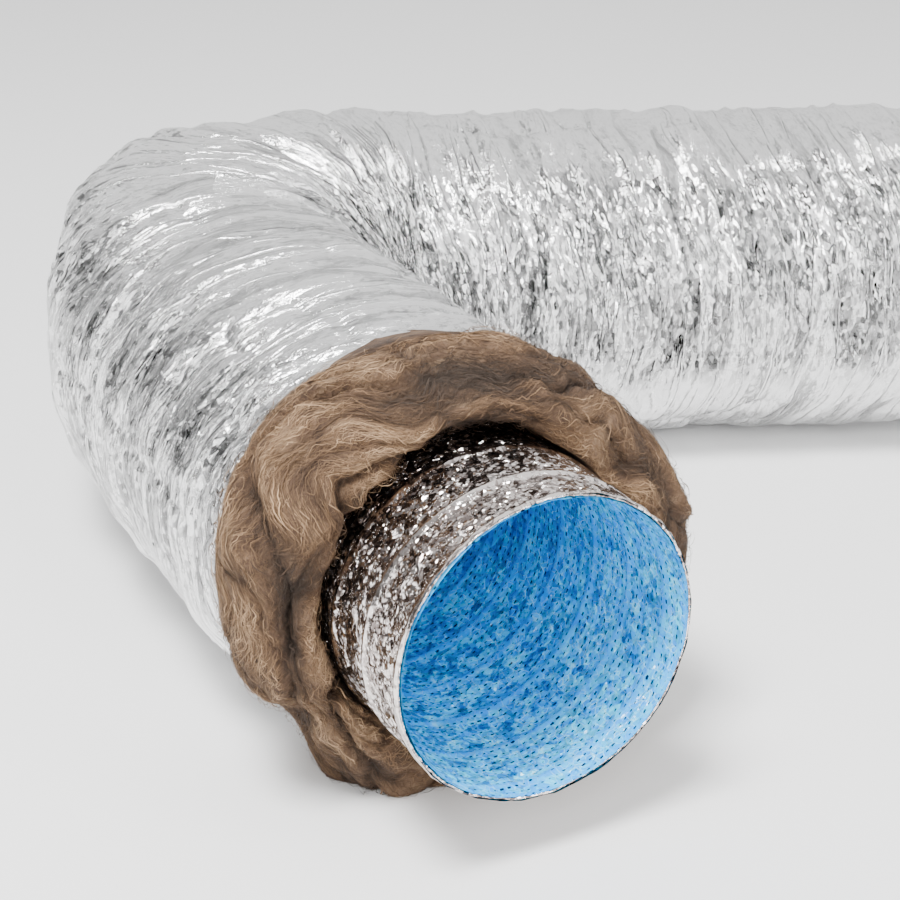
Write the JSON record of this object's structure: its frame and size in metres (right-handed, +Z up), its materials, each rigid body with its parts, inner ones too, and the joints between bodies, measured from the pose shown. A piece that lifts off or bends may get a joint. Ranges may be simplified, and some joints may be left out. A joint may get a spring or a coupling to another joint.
{
  "type": "insulated flexible air duct",
  "caption": "Insulated flexible air duct with a perforated liner, wire helix, foil core, wool blanket and foil jacket, lying in one sharp bend with its core bared at both ends.",
  "frame": {"origin": "centre of the bounding box, on the floor that the duct lies on", "axes": "+Z up, +X along the long run and out of the rear mouth, the front limb pointing to -Y"},
  "size_m": [1.1447, 0.8921, 0.3],
  "materials": {
    "jacket_foil": "crinkled satin foil",
    "glass_wool": "matte fibrous wool",
    "core_foil": "bright crinkled foil",
    "spring_wire": "drawn wire",
    "liner_film": "glossy perforated film"
  },
  "bodies": {
    "run": {"jacket_run_base": "jacket_foil", "insulation_run_base": "glass_wool", "foil_run_base": "core_foil", "wire_run_base": "spring_wire", "liner_run_base": "liner_film", "jacket_run_stretch": "jacket_foil", "insulation_run_stretch": "glass_wool", "foil_run_stretch": "core_foil", "wire_run_stretch": "spring_wire", "liner_run_stretch": "liner_film"},
    "elbow_4": {"jacket_elbow_4": "jacket_foil", "insulation_elbow_4": "glass_wool", "foil_elbow_4": "core_foil", "wire_elbow_4": "spring_wire", "liner_elbow_4": "liner_film"},
    "elbow_3": {"jacket_elbow_3": "jacket_foil", "insulation_elbow_3": "glass_wool", "foil_elbow_3": "core_foil", "wire_elbow_3": "spring_wire", "liner_elbow_3": "liner_film"},
    "elbow_2": {"jacket_elbow_2": "jacket_foil", "insulation_elbow_2": "glass_wool", "foil_elbow_2": "core_foil", "wire_elbow_2": "spring_wire", "liner_elbow_2": "liner_film"},
    "elbow_1": {"jacket_elbow_1": "jacket_foil", "insulation_elbow_1": "glass_wool", "foil_elbow_1": "core_foil", "wire_elbow_1": "spring_wire", "liner_elbow_1": "liner_film"},
    "front_limb": {"jacket_front_limb": "jacket_foil", "insulation_front_limb": "glass_wool", "foil_front_limb": "core_foil", "wire_front_limb": "spring_wire", "liner_front_limb": "liner_film", "jacket_front_flex": "jacket_foil", "insulation_front_flex": "glass_wool", "foil_front_flex": "core_foil", "wire_front_flex": "spring_wire", "liner_front_flex": "liner_film"},
    "front_end": {"jacket_front_end": "jacket_foil", "insulation_front_end": "glass_wool", "foil_front_end": "core_foil", "wire_front_end": "spring_wire", "liner_front_end": "liner_film"},
    "front_core": {"foil_front_core": "core_foil", "wire_front_core": "spring_wire", "liner_front_core": "liner_film"},
    "rear_end": {"jacket_rear_end": "jacket_foil", "insulation_rear_end": "glass_wool", "foil_rear_end": "core_foil", "wire_rear_end": "spring_wire", "liner_rear_end": "liner_film"},
    "rear_core": {"foil_rear_core": "core_foil", "wire_rear_core": "spring_wire", "liner_rear_core": "liner_film"}
  },
  "joints": [
    {"name": "elbow_open_5", "type": "hinge", "parent": "run", "child": "elbow_4", "pos_m": [-0.2505, 0.44611, 0.15], "axis": [0, 0, -1], "range_deg": [0, 13.75]},
    {"name": "elbow_open_4", "type": "hinge", "parent": "elbow_4", "child": "elbow_3", "pos_m": [-0.40335, 0.40752, 0.15], "axis": [0, 0, -1], "range_deg": [0, 27.5]},
    {"name": "elbow_open_3", "type": "hinge", "parent": "elbow_3", "child": "elbow_2", "pos_m": [-0.51957, 0.30099, 0.15], "axis": [0, 0, -1], "range_deg": [0, 27.5]},
    {"name": "elbow_open_2", "type": "hinge", "parent": "elbow_2", "child": "elbow_1", "pos_m": [-0.57128, 0.15207, 0.15], "axis": [0, 0, -1], "range_deg": [0, 27.5]},
    {"name": "elbow_open_1", "type": "hinge", "parent": "elbow_1", "child": "front_limb", "pos_m": [-0.54611, -0.00356, 0.15], "axis": [0, 0, -1], "range_deg": [0, 13.75]},
    {"name": "front_lift", "type": "hinge", "parent": "front_limb", "child": "front_end", "pos_m": [-0.32862, -0.12879, 0.21], "axis": [-0.918, -0.3965, 0], "range_deg": [0, 30], "deforming": ["jacket_front_flex", "insulation_front_flex", "foil_front_flex", "wire_front_flex", "liner_front_flex"]},
    {"name": "front_core_slide", "type": "slide", "parent": "front_end", "child": "front_core", "axis": [0.3965, -0.918, 0], "range_m": [-0.06, 0], "deforming": ["foil_front_end", "wire_front_end", "liner_front_end"]},
    {"name": "run_compress", "type": "slide", "parent": "run", "child": "rear_end", "axis": [1, 0, 0], "range_m": [-0.12, 0], "deforming": ["jacket_run_stretch", "insulation_run_stretch", "foil_run_stretch", "wire_run_stretch", "liner_run_stretch"]},
    {"name": "rear_core_slide", "type": "slide", "parent": "rear_end", "child": "rear_core", "axis": [1, 0, 0], "range_m": [-0.06, 0], "deforming": ["foil_rear_end", "wire_rear_end", "liner_rear_end"]}
  ],
  "couplings": [
    {"joint": "elbow_open_5", "follows": "elbow_open_4", "ratio": 0.5},
    {"joint": "elbow_open_3", "follows": "elbow_open_4", "ratio": 1},
    {"joint": "elbow_open_2", "follows": "elbow_open_4", "ratio": 1},
    {"joint": "elbow_open_1", "follows": "elbow_open_4", "ratio": 0.5}
  ]
}
